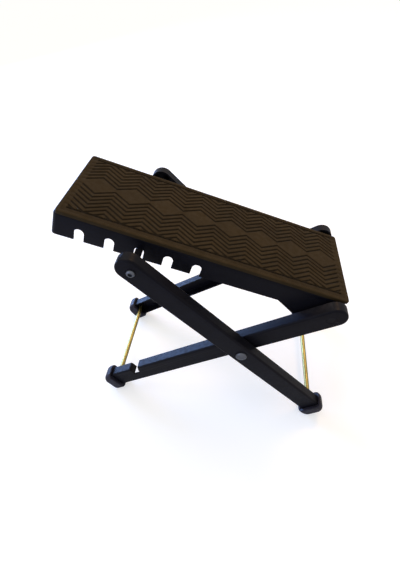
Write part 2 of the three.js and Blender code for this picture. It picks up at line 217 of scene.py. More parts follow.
class SmallSizes(PropertyGroup):
    bevel: length("Bevel", 0.3, "Rounding of sheared and turned edges")
    clearance: length("Clearance", 0.05, "Gap round rods, screws and rivets in their holes")
    socket: length("Socket", 3.4, "Width across flats of the screws' hexagon socket")
    socket_depth: length("Socket depth", 1.9, "Depth of the hexagon socket")
    screw: length("Screw", 4, "Diameter of the screws' threads")
    screw_head: length("Screw head", 7.2, "Diameter of the screws' heads")
    screw_rise: length("Screw rise", 2.2, "Height of the screws' heads")
    rivet: length("Rivet", 6, "Diameter of the rivets' shanks")
    rivet_head: length("Rivet head", 10.6, "Diameter of the rivets' heads")
    rivet_rise: length("Rivet rise", 2.5, "Height of the rivets' heads")
    rivet_tail: length("Rivet tail", 9.4, "Diameter of the rivets' closed ends")
    head_rim: length("Head rim", 0.6, "Height of the straight rim of the screws' and rivets' heads")
    height_rod: length("Height rod", 6, "Diameter of the height rod")
    foot_from_rod: length("Foot from rod", 0.6, "From the foot rod's axis to the mouth of the foot")
    foot_height: length("Foot height", 27, "Height of a foot, seen along the leg, before the floor cuts it")
    inner_foot_length: length("Inner foot length", 13.9, "Length of an inner foot, along the leg")
    outer_foot_length: length("Outer foot length", 12.7, "Length of an outer foot, along the leg")
    foot_gap: length("Foot gap", 0.1, "Gap between a rubber foot and its leg")
    foot_corner: length("Foot corner", 5, "Radius of the corners of a foot, seen along the leg")
    pocket_corner: length("Pocket corner", 0.4, "Radius of the corners of the room for the leg in a foot")
    foot_toe: length("Foot toe", 11, "Rounding of a foot's end at its upper side")
    inner_heel: length("Inner heel", 5.5, "Rounding of an inner foot's end at its lower side")
    outer_heel: length("Outer heel", 9, "Rounding of an outer foot's end at its lower side")
    foot_side: length("Foot side", 5, "Rounding of a foot's end at its sides")
    foot_rim: length("Foot rim", 0.9, "Rounding of the mouth of a foot")


class Finishes(PropertyGroup):
    paint: colour("Paint", "#0e0e15", "Stoved black enamel on the steel")
    rubbed: colour("Rubbed paint", "#2c2b2e", "Enamel where edges are rubbed")
    mat: colour("Mat", "#302616", "Rubber of the mat")
    # Painted shade: a darker colour laid into the mat's grooves and sunk strip, standing in for their shadow
    groove_painted_shade: colour("Mat grooves", "#17110a", "Rubber in the mat's grooves, where dust doesn't reach")
    foot: colour("Feet", "#21202b", "Rubber of the feet")
    yellow_zinc: colour("Yellow zinc", "#8f8553", "Plating of the foot rods")
    white_zinc: colour("White zinc", "#5c5f66", "Plating of the rivets and screws")
    nylon: colour("Nylon", "#131315", "Spacers")
    floor: colour("Floor", "#cbcbcb", "Floor under the footrest")


class FootrestSettings(PropertyGroup):
    tread: PointerProperty(type=TreadSizes, name="Tread", description="Sizes of the pan")
    mat: PointerProperty(type=MatSizes, name="Mat", description="Sizes of the mat and its pattern")
    leg: PointerProperty(type=LegSizes, name="Legs", description="Sizes of the legs")
    small: PointerProperty(type=SmallSizes, name="Small pieces", description="Sizes of the small pieces")
    finish: PointerProperty(type=Finishes, name="Finishes", description="Colours")


# Mesh making

# Steps of the round forms
ROUND_STEPS = 48
BEND_STEPS = 6
CORNER_STEPS = 8
EDGE_STEPS = 4
NOTCH_STEPS = 20
LEG_TOP_STEPS = 28
RIM_STEPS = 5
DOME_STEPS = 16
HEAD_STEPS = 10
# How far the cutters reach past what they cut, and the least radius that a corner is drawn with
CUT_MARGIN = 5 * MM
LEAST_RADIUS = 0.05 * MM


def new_piece(name, verts, faces, material, frame=Matrix()):
    """A mesh object in a frame, with its faces turned outwards."""
    shape = bmesh.new()
    points = [shape.verts.new(vert) for vert in verts]
    for face in faces:
        corners = [points[i] for i in dict.fromkeys(face)]
        if len(corners) > 2:
            shape.faces.new(corners)
    bmesh.ops.remove_doubles(shape, verts=shape.verts, dist=1e-7)
    bmesh.ops.recalc_face_normals(shape, faces=shape.faces)
    mesh = bpy.data.meshes.new(name)
    shape.to_mesh(mesh)
    shape.free()
    if material:
        mesh.materials.append(material)
    piece = bpy.data.objects.new(name, mesh)
    piece.matrix_world = frame
    bpy.context.scene.collection.objects.link(piece)
    return piece


def loft(rings, closed=True):
    """The points and faces of a body whose skin runs through rings of equally many points.

    Rings that aren't closed, as across a channel, also get a face over their open ends.
    """
    count = len(rings[0])
    span = count if closed else count - 1
    verts = [point for ring in rings for point in ring]
    faces = []
    for ring in range(len(rings) - 1):
        here = ring * count
        there = here + count
        for i in range(span):
            j = (i + 1) % count
            faces.append((here + i, here + j, there + j, there + i))
    last = (len(rings) - 1) * count
    faces.append(tuple(range(count)))
    faces.append(tuple(range(last, last + count)))
    if not closed:
        starts = [ring * count for ring in range(len(rings))]
        faces.append(tuple(starts + [start + count - 1 for start in reversed(starts)]))
    return verts, faces


def prism(outline, low, high):
    """A side view, drawn in X and Z, given width from low to high along Y."""
    return loft([[Vector((x, y, z)) for x, z in outline] for y in (low, high)])


def circle(radius, y):
    """A ring of points round the Y axis."""
    turns = [math.tau * i / ROUND_STEPS for i in range(ROUND_STEPS)]
    return [Vector((radius * math.cos(turn), y, radius * math.sin(turn))) for turn in turns]


def turned(name, outline, material, frame):
    """A body turned about Y from its outline of radius and Y, which starts and ends on the axis."""
    return new_piece(name, *loft([circle(radius, y) for radius, y in outline]), material, frame)


def bore(radius, start, end, frame):
    """A round cutter along Y."""
    return turned("bore", [(0, start), (radius, start), (radius, end), (0, end)], None, frame)


def arc(centre_x, centre_y, radius, start, end, steps):
    """Points on an arc, from one angle to another in degrees."""
    turns = [math.radians(start + (end - start) * i / steps) for i in range(steps + 1)]
    return [(centre_x + radius * math.cos(turn), centre_y + radius * math.sin(turn)) for turn in turns]


def quarter(radius, steps):
    """Pairs of distances round a quarter circle: the first falls from the radius to 0 as the second rises."""
    turns = [math.pi / 2 * i / steps for i in range(steps + 1)]
    return [(radius * (1 - math.sin(turn)), radius * (1 - math.cos(turn))) for turn in turns]


def curve(start, control, end):
    """Points on a quadratic curve, after its start."""
    places = [i / CORNER_STEPS for i in range(1, CORNER_STEPS + 1)]
    return [
        tuple((1 - t) ** 2 * a + 2 * t * (1 - t) * b + t**2 * c for a, b, c in zip(start, control, end))
        for t in places
    ]


def settle(piece):
    """Makes a piece's modifiers part of its mesh."""
    graph = bpy.context.evaluated_depsgraph_get()
    shape = bpy.data.meshes.new_from_object(piece.evaluated_get(graph))
    piece.modifiers.clear()
    piece.data = shape


def combine(piece, operation, *others):
    """Cuts other bodies from a piece, or joins them to it."""
    for other in others:
        step = piece.modifiers.new("combine", "BOOLEAN")
        step.object = other
        step.operation = operation
        step.solver = "EXACT"
    settle(piece)
    for other in others:
        bpy.data.objects.remove(other)


def soften(piece, width=0.0, sharp=32):
    """Rounds a piece's sharp edges, and shades it smooth between them."""
    piece.data.shade_smooth()
    piece.data.set_sharp_from_angle(angle=math.radians(sharp))
    if width:
        bevel = piece.modifiers.new("edges", "BEVEL")
        bevel.width = width
        bevel.segments = 2
        bevel.limit_method = "ANGLE"
        bevel.angle_limit = math.radians(sharp)
        bevel.harden_normals = True
    normals = piece.modifiers.new("normals", "WEIGHTED_NORMAL")
    normals.keep_sharp = True


def place(piece, body, node):
    """Puts a finished piece in place of a CAD node, on the body that carries it."""
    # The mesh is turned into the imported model's own axes, so that its box is the true one
    piece.data.transform(piece.matrix_world)
    piece.matrix_world = Matrix()
    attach(piece, body)
    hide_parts(node)


# Materials

# A noise texture's values lie mostly between these
SPREAD = {"From Min": 0.35, "From Max": 0.65}


def add(tree, kind, output, inputs, **settings):
    """Adds a node with its settings, sets or links its inputs by name or number, and gives one output."""
    node = tree.nodes.new(kind)
    for name, value in settings.items():
        setattr(node, name, value)
    for key, value in inputs.items():
        named = [socket for socket in node.inputs if socket.enabled and socket.name == key]
        socket = named[0] if named else node.inputs[key]
        if isinstance(value, bpy.types.NodeSocket):
            tree.links.new(value, socket)
        else:
            socket.default_value = value
    return next(socket for socket in node.outputs if socket.enabled and socket.name == output)


def surface(name, color, roughness, metallic=0.0, specular=0.5):
    """A material with a principled shader, whose even values stand on its own sockets."""
    material = bpy.data.materials.new(name)
    material.use_nodes = True
    tree = material.node_tree
    sockets = tree.nodes["Principled BSDF"].inputs
    sockets["Base Color"].default_value = (*color, 1)
    sockets["Roughness"].default_value = roughness
    sockets["Metallic"].default_value = metallic
    sockets["Specular IOR Level"].default_value = specular
    return material, tree, sockets


def per(millimetres):
    """The scale of a texture whose features are about this far apart."""
    return 1 / (millimetres * MM)


def tint(color, share):
    """A colour made lighter or darker, as red, green, blue and alpha."""
    return (*(min(1, part * share) for part in color), 1)


def stoved_enamel(finish):
    # A dipped and stoved enamel: dark and even with a satin gloss, the faint waviness of a thick coat, and
    # rubbed lighter along its edges
    material, tree, sockets = surface("stoved black enamel on steel", finish.paint, 0.42, specular=0.07)
    place_on = add(tree, "ShaderNodeTexCoord", "Object", {})
    clouds = add(tree, "ShaderNodeTexNoise", "Fac", {"Vector": place_on, "Scale": per(18), "Detail": 3.0})
    mottle = add(tree, "ShaderNodeMapRange", "Result", {"Value": clouds, **SPREAD})
    shades = {"Factor": mottle, "A": tint(finish.paint, 0.85), "B": tint(finish.paint, 1.2)}
    coat = add(tree, "ShaderNodeMix", "Result", shades, data_type="RGBA")
    # Pointiness is a half on a flat face, and more along an outer edge
    sharpness = add(tree, "ShaderNodeNewGeometry", "Pointiness", {})
    rub = add(tree, "ShaderNodeMapRange", "Result", {"Value": sharpness, "From Min": 0.53, "From Max": 0.6})
    patches = add(tree, "ShaderNodeTexNoise", "Fac", {"Vector": place_on, "Scale": per(3), "Detail": 2.0})
    worn = add(tree, "ShaderNodeMath", "Value", {0: rub, 1: patches}, operation="MULTIPLY")
    shades = {"Factor": worn, "A": coat, "B": tint(finish.rubbed, 1)}
    tree.links.new(add(tree, "ShaderNodeMix", "Result", shades, data_type="RGBA"), sockets["Base Color"])
    cloudy = {"Value": patches, **SPREAD, "To Min": 0.36, "To Max": 0.5}
    tree.links.new(add(tree, "ShaderNodeMapRange", "Result", cloudy), sockets["Roughness"])
    waves = add(tree, "ShaderNodeTexNoise", "Fac", {"Vector": place_on, "Scale": per(2.2), "Detail": 1.0})
    relief = {"Height": waves, "Distance": 0.05 * MM, "Strength": 0.25}
    wavy = add(tree, "ShaderNodeBump", "Normal", relief)
    specks = add(tree, "ShaderNodeTexNoise", "Fac", {"Vector": place_on, "Scale": per(0.7), "Detail": 1.0})
    relief = {"Height": specks, "Distance": 0.02 * MM, "Strength": 0.2, "Normal": wavy}
    tree.links.new(add(tree, "ShaderNodeBump", "Normal", relief), sockets["Normal"])
    return material


def moulded_mat_rubber(finish):
    # Rubber pressed in a sandblasted mould: dull and faintly dusty on the ribs, with painted shade that darkens
    # it down in the grooves and the sunk strip
    material, tree, sockets = surface("pressed rubber sheet", finish.mat, 0.7, specular=0.08)
    place_on = add(tree, "ShaderNodeTexCoord", "Object", {})
    clouds = add(tree, "ShaderNodeTexNoise", "Fac", {"Vector": place_on, "Scale": per(30), "Detail": 4.0})
    worn = add(tree, "ShaderNodeMapRange", "Result", {"Value": clouds, **SPREAD})
    shades = {"Factor": worn, "A": tint(finish.mat, 0.88), "B": tint(finish.mat, 1.14)}
    top = add(tree, "ShaderNodeMix", "Result", shades, data_type="RGBA")
    # Painted shade: the groove attribute mixes in the darker colour the deeper the rubber lies, standing in for
    # the shadow in the grooves
    depth = add(tree, "ShaderNodeAttribute", "Fac", {}, attribute_name="groove")
    shades = {"Factor": depth, "A": top, "B": tint(finish.groove_painted_shade, 1)}
    tree.links.new(add(tree, "ShaderNodeMix", "Result", shades, data_type="RGBA"), sockets["Base Color"])
    dust = add(tree, "ShaderNodeTexNoise", "Fac", {"Vector": place_on, "Scale": per(4), "Detail": 3.0})
    dull = {"Value": dust, **SPREAD, "To Min": 0.62, "To Max": 0.78}
    tree.links.new(add(tree, "ShaderNodeMapRange", "Result", dull), sockets["Roughness"])
    # The real grain is about 0.1 mm, drawn at 0.5 mm so that it shows
    grain = add(tree, "ShaderNodeTexNoise", "Fac", {"Vector": place_on, "Scale": per(0.5), "Detail": 2.0})
    relief = {"Height": grain, "Distance": 0.08 * MM, "Strength": 0.4}
    tree.links.new(add(tree, "ShaderNodeBump", "Normal", relief), sockets["Normal"])
    return material


def moulded_foot_rubber(finish):
    # Harder moulded rubber: black with a grey bloom, a little smoother than the mat
    material, tree, sockets = surface("moulded rubber with grey bloom", finish.foot, 0.5, specular=0.18)
    place_on = add(tree, "ShaderNodeTexCoord", "Object", {})
    clouds = add(tree, "ShaderNodeTexNoise", "Fac", {"Vector": place_on, "Scale": per(7), "Detail": 4.0})
    bloom = add(tree, "ShaderNodeMapRange", "Result", {"Value": clouds, **SPREAD})
    shades = {"Factor": bloom, "A": tint(finish.foot, 0.75), "B": tint(finish.foot, 1.35)}
    tree.links.new(add(tree, "ShaderNodeMix", "Result", shades, data_type="RGBA"), sockets["Base Color"])
    patches = add(tree, "ShaderNodeTexNoise", "Fac", {"Vector": place_on, "Scale": per(3), "Detail": 2.0})
    dull = {"Value": patches, **SPREAD, "To Min": 0.42, "To Max": 0.58}
    tree.links.new(add(tree, "ShaderNodeMapRange", "Result", dull), sockets["Roughness"])
    grain = add(tree, "ShaderNodeTexNoise", "Fac", {"Vector": place_on, "Scale": per(0.6), "Detail": 2.0})
    relief = {"Height": grain, "Distance": 0.06 * MM, "Strength": 0.35}
    tree.links.new(add(tree, "ShaderNodeBump", "Normal", relief), sockets["Normal"])
    return material


def plated_steel(name, color, roughness, grain):
    # Drawn or headed steel under a thin plating, which keeps the fine marks of the die along it
    material, tree, sockets = surface(name, color, roughness, metallic=1)
    place_on = add(tree, "ShaderNodeTexCoord", "Object", {})
    stretch = add(tree, "ShaderNodeMapping", "Vector", {"Vector": place_on, "Scale": grain})
    marks = add(tree, "ShaderNodeTexNoise", "Fac", {"Vector": stretch, "Scale": per(0.5), "Detail": 2.0})
    clouds = add(tree, "ShaderNodeTexNoise", "Fac", {"Vector": place_on, "Scale": per(5), "Detail": 3.0})
    cloudy = add(tree, "ShaderNodeMapRange", "Result", {"Value": clouds, **SPREAD})
    shades = {"Factor": cloudy, "A": tint(color, 0.9), "B": tint(color, 1.06)}
    tree.links.new(add(tree, "ShaderNodeMix", "Result", shades, data_type="RGBA"), sockets["Base Color"])
    rough = {"Value": marks, **SPREAD, "To Min": roughness - 0.07, "To Max": roughness + 0.08}
    tree.links.new(add(tree, "ShaderNodeMapRange", "Result", rough), sockets["Roughness"])
    relief = {"Height": marks, "Distance": 0.02 * MM, "Strength": 0.2}
    tree.links.new(add(tree, "ShaderNodeBump", "Normal", relief), sockets["Normal"])
    return material


def moulded_nylon(finish):
    # Moulded nylon: black with a soft sheen and an even, slightly pitted skin
    material, tree, sockets = surface("moulded black nylon", finish.nylon, 0.5, specular=0.4)
    place_on = add(tree, "ShaderNodeTexCoord", "Object", {})
    patches = add(tree, "ShaderNodeTexNoise", "Fac", {"Vector": place_on, "Scale": per(2), "Detail": 2.0})
    sheen = {"Value": patches, **SPREAD, "To Min": 0.44, "To Max": 0.56}
    tree.links.new(add(tree, "ShaderNodeMapRange", "Result", sheen), sockets["Roughness"])
    pits = add(tree, "ShaderNodeTexNoise", "Fac", {"Vector": place_on, "Scale": per(0.8), "Detail": 2.0})
    relief = {"Height": pits, "Distance": 0.04 * MM, "Strength": 0.3}
    tree.links.new(add(tree, "ShaderNodeBump", "Normal", relief), sockets["Normal"])
    return material


def yellow_zinc(finish):
    # Passivated zinc on drawn rod: pale straw, with marks that run along the rod
    return plated_steel("yellow passivated zinc on drawn rod", finish.yellow_zinc, 0.34, (1, 0.06, 1))


def white_zinc(finish):
    # Bright zinc on headed steel: cold grey, marked evenly
    return plated_steel("bright zinc on headed steel", finish.white_zinc, 0.4, (1, 1, 1))


def finish_of(context, maker):
    """The material that a maker gives, made once."""
    key = f"footrest_{maker.__name__}"
    known = context.scene.get(key)
    if known:
        return bpy.data.materials[known]
    material = maker(context.scene.footrest.finish)
    context.scene[key] = material.name
    return material


# Tread


def rounded_rectangle(low, high, corner_low, corner_high, inset, z):
    """A level ring round a rectangle that is drawn in by an inset, with a corner radius at each end in X."""
    ring = []
    for sign_x, sign_y, start in ((1, -1, -90), (1, 1, 0), (-1, 1, 90), (-1, -1, 180)):
        x, corner = (high.x, corner_high) if sign_x > 0 else (low.x, corner_low)
        y = high.y if sign_y > 0 else low.y
        radius = max(corner - inset, LEAST_RADIUS)
        back = inset + radius
        swing = arc(x - sign_x * back, y - sign_y * back, radius, start, start + 90, CORNER_STEPS)
        ring += [Vector((ring_x, ring_y, z)) for ring_x, ring_y in swing]
    return ring


def skirt_cutter(sizes, low_x, pan_low, pan_high, mat_low, mat_high):
    """Everything below the skirts' lower edge: a side view with the notches, round the cheek."""
    radius = sizes.notch_width / 2
    rod_x = place_along("height_rod", TREAD)
    skirt = mat_high.z - sizes.skirt
    blend = sizes.cheek_blend
    start = mat_high.x - sizes.cheek_start
    bend = mat_high.x - sizes.cheek_bend
    end = mat_high.x - sizes.cheek_end
    lowest = pan_low.z
    first_x = low_x - CUT_MARGIN
    last_x = pan_high.x + CUT_MARGIN

    def bottom(x):
        return skirt - sizes.taper * (mat_high.x - x) / (mat_high.x - mat_low.x)

    outline = [(first_x, bottom(first_x))]
    for i in range(sizes.notch_count):
        x = rod_x - (sizes.notch_in_use - 1 - i) * sizes.notch_pitch
        outline.append((x - radius, bottom(x - radius)))
        outline += arc(x, bottom(x) + sizes.notch_depth - radius, radius, 180, 0, NOTCH_STEPS)
        outline.append((x + radius, bottom(x + radius)))
    outline.append((start, bottom(start)))
    outline += curve(outline[-1], (bend, skirt - sizes.cheek_bend_drop), (end, skirt - sizes.cheek_end_drop))
    outline += curve(outline[-1], (end + blend / 2, lowest), (end + 2 * blend, lowest))
    outline.append((mat_high.x - sizes.cheek_flat, lowest))
    outline += curve(outline[-1], (pan_high.x, lowest), (pan_high.x, skirt))
    outline += [(last_x, skirt), (last_x, lowest - CUT_MARGIN), (first_x, lowest - CUT_MARGIN)]
    return new_piece("skirt_cutter", *prism(outline, 2 * pan_low.y, 2 * pan_high.y), None, TREAD)


def tread_pan(context):
    """The pressed pan: a flat top with skirts on three sides, and a lip across its low end."""
    settings = context.scene.footrest
    sizes = settings.tread
    low, high = extent("tread_pan", TREAD)
    mat_low, mat_high = extent("tread_mat", TREAD)
    low_x = mat_low.x - sizes.reach
    rings = []

    def ring(inset, z):
        leaning = sizes.lean * (high.z - z) / sizes.skirt
        corner = Vector((low_x - leaning, low.y))
        rings.append(rounded_rectangle(corner, high, sizes.corner, sizes.bend, inset, z))

    for inset, drop in quarter(sizes.bend, BEND_STEPS):
        ring(inset, high.z - drop)
    # The skirts run on below the cheeks here, and are cut to their edge afterwards
    ring(0, low.z - sizes.sheet)
    ring(sizes.sheet, low.z - sizes.sheet)
    inner_bend = sizes.bend - sizes.sheet
    for drop, inset in quarter(inner_bend, BEND_STEPS):
        ring(sizes.sheet + inset, high.z - sizes.sheet - drop)
    piece = new_piece("pressed_tread_pan", *loft(rings), finish_of(context, stoved_enamel), TREAD)
    skirts = skirt_cutter(sizes, low_x - sizes.lean, low, high, mat_low, mat_high)
    hole = bore(extent("hinge_rod", TREAD)[1].z + sizes.hinge_gap, 2 * low.y, 2 * high.y, TREAD)
    # Between the skirts, the sheet across the low end is cut away below the lip
    first_x = high.x - CUT_MARGIN
    last_x = high.x + CUT_MARGIN
    lip_z = high.z - sizes.lip
    below_z = low.z - CUT_MARGIN
    outline = [(first_x, below_z), (last_x, below_z), (last_x, lip_z), (first_x, lip_z)]
    inner = high.y - sizes.sheet - inner_bend
    below_lip = new_piece("below_lip", *prism(outline, -inner, inner), None, TREAD)
    combine(piece, "DIFFERENCE", skirts, hole, below_lip)
    soften(piece, settings.small.bevel)
    place(piece, "tread", "tread_pan")


def mat_columns(sizes, low, high):
    """Places along the mat, each with the most that the upper face may be sunk there."""
    slope = sizes.slope
    start = low.x + sizes.end_border
    end = high.x - sizes.end_border
    turns = []
    turn = low.x + sizes.first_valley - sizes.period
    while turn < end:
        if start + slope < turn < end - slope:
            turns.append(turn)
        turn += sizes.period / 2
    stops = [start + slope, *turns, end - slope]
    columns = [(low.x + sizes.corner, 0), (low.x + sizes.corner + slope, sizes.strip), (start, sizes.strip)]
    for first, second in zip(stops, stops[1:]):
        steps = max(1, math.ceil((second - first) / sizes.column))
        columns += [(first + (second - first) * i / steps, sizes.depth) for i in range(steps)]
    columns += [(stops[-1], sizes.depth), (end, sizes.strip)]
    return [*columns, (high.x - sizes.corner - slope, sizes.strip), (high.x - sizes.corner, 0)]


# Across a groove: places in half widths from its middle, each with its share of the groove's depth
GROOVE_PROFILE = ((-1, 0), (-0.62, 0.5), (-0.3, 0.93), (0.3, 0.93), (0.62, 0.5), (1, 0))


def mat_rows(sizes, reach):
    """Distances out from the first groove of one side, each with its share of a groove's depth."""
    half = sizes.groove / 2
    rows = []
    line = 0
    while line * sizes.pitch - half < reach:
        rows += [(line * sizes.pitch + offset * half, share) for offset, share in GROOVE_PROFILE]
        rows.append(((line + 0.5) * sizes.pitch, 0))
        line += 1
    return rows


def mat_surface(sizes, low, high):
    """The grid of points on the mat's upper face, column by column along the mat."""
    groove = sizes.border_groove
    slope = sizes.slope
    edges = {-1: low.y + sizes.near_border, 1: high.y - sizes.far_border}
    rims = {-1: low.y + sizes.corner, 1: high.y - sizes.corner}
    middle = (low.y + high.y) / 2 + sizes.off_centre
    grid = []
    for x, limit in mat_columns(sizes, low, high):
        along = (x - low.x - sizes.first_valley) / sizes.period
        swing = 1 - 2 * abs(along - round(along))
        first = sizes.neck / 2 + sizes.rise * swing
        sides = {}
        for sign, edge in edges.items():
            side = []
            for distance, share in mat_rows(sizes, abs(edge - middle) - sizes.neck / 2):
                y = middle + sign * (first + distance)
                beyond = sign * (y - edge) > -groove
                side.append((edge - sign * groove, 1) if beyond else (y, share))
            side.append((edge - sign * slope, 1))
            sides[sign] = [(y, sizes.sunk + share * (sizes.depth - sizes.sunk)) for y, share in side]
            sides[sign] += [(edge, sizes.strip), (rims[sign] - sign * slope, sizes.strip), (rims[sign], 0)]
        rows = [*reversed(sides[-1]), (middle, sizes.sunk), *sides[1]]
        grid.append([Vector((x, y, high.z - min(depth, limit))) for y, depth in rows])
    return grid


def mat_loop(columns, rows):
    """The grid's outer points in order round the mat, with a corner's point once for each step round it."""
    last = (columns - 1) * rows
    loop = [last] * BEND_STEPS + [last + j for j in range(rows)] + [last + rows - 1] * BEND_STEPS
    loop += [i * rows + rows - 1 for i in reversed(range(columns))] + [rows - 1] * BEND_STEPS
    return loop + list(reversed(range(rows))) + [0] * BEND_STEPS + [i * rows for i in range(columns)]


def tread_mat(context):
    """The rubber mat: a row of plain diamonds between zigzag ribs, inside a plain border."""
    sizes = context.scene.footrest.mat
    low, high = extent("tread_mat", TREAD)
    pan_top = extent("tread_pan", TREAD)[1].z
    grid = mat_surface(sizes, low, high)
    columns = len(grid)
    rows = len(grid[0])
    verts = [point for column in grid for point in column]
    faces = []
    for i in range(columns - 1):
        for j in range(rows - 1):
            here = i * rows + j
            faces.append((here, here + rows, here + rows + 1, here + 1))
    loop = mat_loop(columns, rows)

    def ring(inset, z):
        """The mat's outline, drawn in by an inset, with a point for each one of the loop."""
        out = sizes.corner - inset
        points = []
        at = 0
        # A corner and the straight side after it, from the low end round by the rear to the front
        for i, (side_x, side_y) in enumerate(((1, 0), (0, 1), (-1, 0), (0, -1))):
            middle_x = high.x - sizes.corner if side_x + side_y > 0 else low.x + sizes.corner
            middle_y = high.y - sizes.corner if side_y - side_x > 0 else low.y + sizes.corner
            swing = arc(middle_x, middle_y, out, 90 * i - 90, 90 * i, BEND_STEPS)
            points += [Vector((x, y, z)) for x, y in swing[:-1]]
            at += BEND_STEPS
            along = rows if side_x else columns
            for index in loop[at : at + along]:
                point = verts[index]
                points.append(Vector((point.x + side_x * out, point.y + side_y * out, z)))
            at += along
        return points

    rings = [ring(inset, high.z - drop) for inset, drop in quarter(sizes.edge, EDGE_STEPS)]
    rings.append(ring(0, pan_top + sizes.gap))
    base = len(verts)
    count = len(loop)
    for points in rings:
        verts += points
    for i in range(count):
        j = (i + 1) % count
        faces.append((loop[i], loop[j], base + j, base + i))
        for k in range(len(rings) - 1):
            here = base + k * count
            faces.append((here + i, here + j, here + count + j, here + count + i))
    bottom = base + (len(rings) - 1) * count
    faces.append(tuple(range(bottom, bottom + count)))
    piece = new_piece("moulded_tread_mat", verts, faces, finish_of(context, moulded_mat_rubber), TREAD)
    # Painted shade: each point's share of the grooves' darker colour, by how far it lies below the ribs' tops,
    # which darkens the grooves and the sunk strip
    groove = piece.data.attributes.new("groove", "FLOAT", "POINT")
    floor_depth = sizes.depth - sizes.sunk
    for vertex, value in zip(piece.data.vertices, groove.data):
        sunk = high.z - sizes.sunk - vertex.co.z
        inside = low.y + sizes.corner < vertex.co.y < high.y - sizes.corner
        inside = inside and low.x + sizes.corner < vertex.co.x < high.x - sizes.corner
        value.value = min(1, max(0, sunk / floor_depth)) if inside else 0
    soften(piece)
    place(piece, "tread", "tread_mat")


# Legs and feet


def mirrored(points, side):
    return [Vector((point.x, side * point.y, point.z)) for point in points]


def folded_rod():
    """The height rod's place along the inner legs, and below their middle line, when the legs are folded."""
    joint = next(joint for joint in CAD["record"]["behaviour"]["joints"] if joint["name"] == "leg_fold")
    turn = Matrix.Rotation(math.radians(joint["range_deg"][1]), 3, Vector(joint["axis"]))
    return INNER.inverted() @ (PIVOT + turn @ (centre("height_rod") - PIVOT))


def folding_slot(sizes, side, lip_x, room, web, edge):
    """The lip turned down from a leg's flange, and the cutter of the slot that holds the folded rod."""
    half = sizes.height / 2
    inside = sizes.sheet - half
    seat = folded_rod()
    tip = seat.z + room
    overlap = sizes.sheet / 2
    lip = [(lip_x - overlap, overlap - half), (lip_x + sizes.sheet, overlap - half)]
    lip += [(lip_x + sizes.sheet, tip), (lip_x - overlap, tip)]
    lip = prism(lip, side * (web + overlap), side * edge)
    # A sloping mouth, an upright side, a round seat, and the lip with the fold at its top
    mouth_x = lip_x - sizes.slot_width
    wall_x = seat.x - room
    outline = [(mouth_x, -2 * half), (mouth_x, inside), (wall_x, inside + wall_x - mouth_x)]
    outline += [*arc(seat.x, seat.z, room, 180, 90, CORNER_STEPS), (lip_x, tip)]
    outline += arc(lip_x + sizes.bend, sizes.bend - half, sizes.bend, 180, 270, CORNER_STEPS)
    outline.append((lip_x + sizes.bend, -2 * half))
    return lip, prism(outline, side * 2 * web, side * edge / 2)


def channel(context, pair, name, pins, lip_x):
    """A pressed channel with a round closed top, open at its foot and towards the footrest's middle.

    Where a place along it is given for a lip, its flange has the slot for the folded rod.
    """
    settings = context.scene.footrest
    sizes = settings.leg
    node = f"{pair}_leg_{name}"
    frame = PAIRS[pair]
    side = SIDES[name]
    low, high = extent(f"{pair}_leg_front", frame)
    edge = low.y + sizes.depth
    half = sizes.height / 2
    rings = []

    def ring(inset, y):
        radius = half - inset
        outline = [(high.x, radius), *arc(low.x + half, 0, radius, 90, 270, LEG_TOP_STEPS), (high.x, -radius)]
        rings.append(mirrored([Vector((x, y, z)) for x, z in outline], side))

    for inset, rise in quarter(sizes.bend, BEND_STEPS):
        ring(inset, low.y + rise)
    ring(0, edge)
    ring(sizes.sheet, edge)
    inner_bend = settings.small.bevel
    for rise, inset in quarter(inner_bend, BEND_STEPS):
        ring(sizes.sheet + inset, low.y + sizes.sheet + rise)
    piece = new_piece(f"pressed_{node}", *loft(rings, closed=False), finish_of(context, stoved_enamel), frame)
    cutters = []
    for pin, radius, start in pins:
        hole = radius + settings.small.clearance
        cutters.append(bore(hole, side * start, side * edge, at_centre(pin, frame)))
    if lip_x:
        room = settings.small.height_rod / 2 + sizes.slot_gap
        lip, slot = folding_slot(sizes, side, lip_x, room, low.y, edge)
        combine(piece, "UNION", new_piece("lip", *lip, None, frame))
        cutters.append(new_piece("slot", *slot, None, frame))
    combine(piece, "DIFFERENCE", *cutters)
    soften(piece, settings.small.bevel)
    place(piece, f"{pair}_legs", node)


def legs(context):
    """The four pressed legs."""
    settings = context.scene.footrest
    sizes = settings.leg
    small = settings.small
    tops = {"inner": ("hinge_rod", radius_at_end("hinge_rod", INNER))}
    tops["outer"] = ("height_rod", small.screw / 2)
    for pair, frame in PAIRS.items():
        web = web_of(pair)
        rod_node = f"{pair}_foot_rod"
        # Holes go right through the web, but for the foot rod's, which ends under the enamel
        pins = [(*tops[pair], 2 * web), ("pivot_spacer_front", small.rivet / 2, 2 * web)]
        pins.append((rod_node, radius_at_end(rod_node, frame), web + sizes.cover))
        lip_x = place_along(rod_node, frame) - sizes.slot_from_rod if pair == "inner" else None
        for name in SIDES:
            channel(context, pair, name, pins, lip_x)


